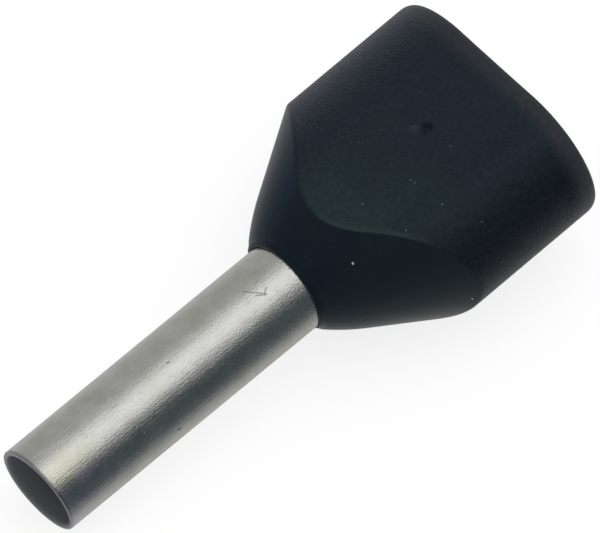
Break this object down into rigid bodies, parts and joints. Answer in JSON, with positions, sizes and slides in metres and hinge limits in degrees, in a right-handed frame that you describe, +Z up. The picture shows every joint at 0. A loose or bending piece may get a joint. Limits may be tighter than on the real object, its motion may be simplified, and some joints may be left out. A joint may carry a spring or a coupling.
{
  "type": "wire ferrule",
  "caption": "Insulated double-entry wire ferrule: a thin tinned tube, flared inside a black moulded collar that widens from a round neck to a flat-sided oblong mouth.",
  "frame": {"origin": "middle of the part's box, on the surface that it rests on", "axes": "+X from the sleeve's tip towards the collar's mouth, +Z up; the axis of the sleeve leans up towards the mouth by 6.0 degrees, because the part rests on the tip's lower edge and the heel of the collar's flat side"},
  "size_m": [0.0152, 0.0068, 0.0048],
  "materials": {
    "tinned_copper": "tin-plated copper, bright, with fine lengthwise drawing lines",
    "black_moulding": "blue-black moulded polypropylene: fine matt texture on the barrel, smoother on the neck"
  },
  "bodies": {
    "root": {"crimp_sleeve": "tinned_copper", "insulating_collar": "black_moulding"}
  },
  "joints": []
}
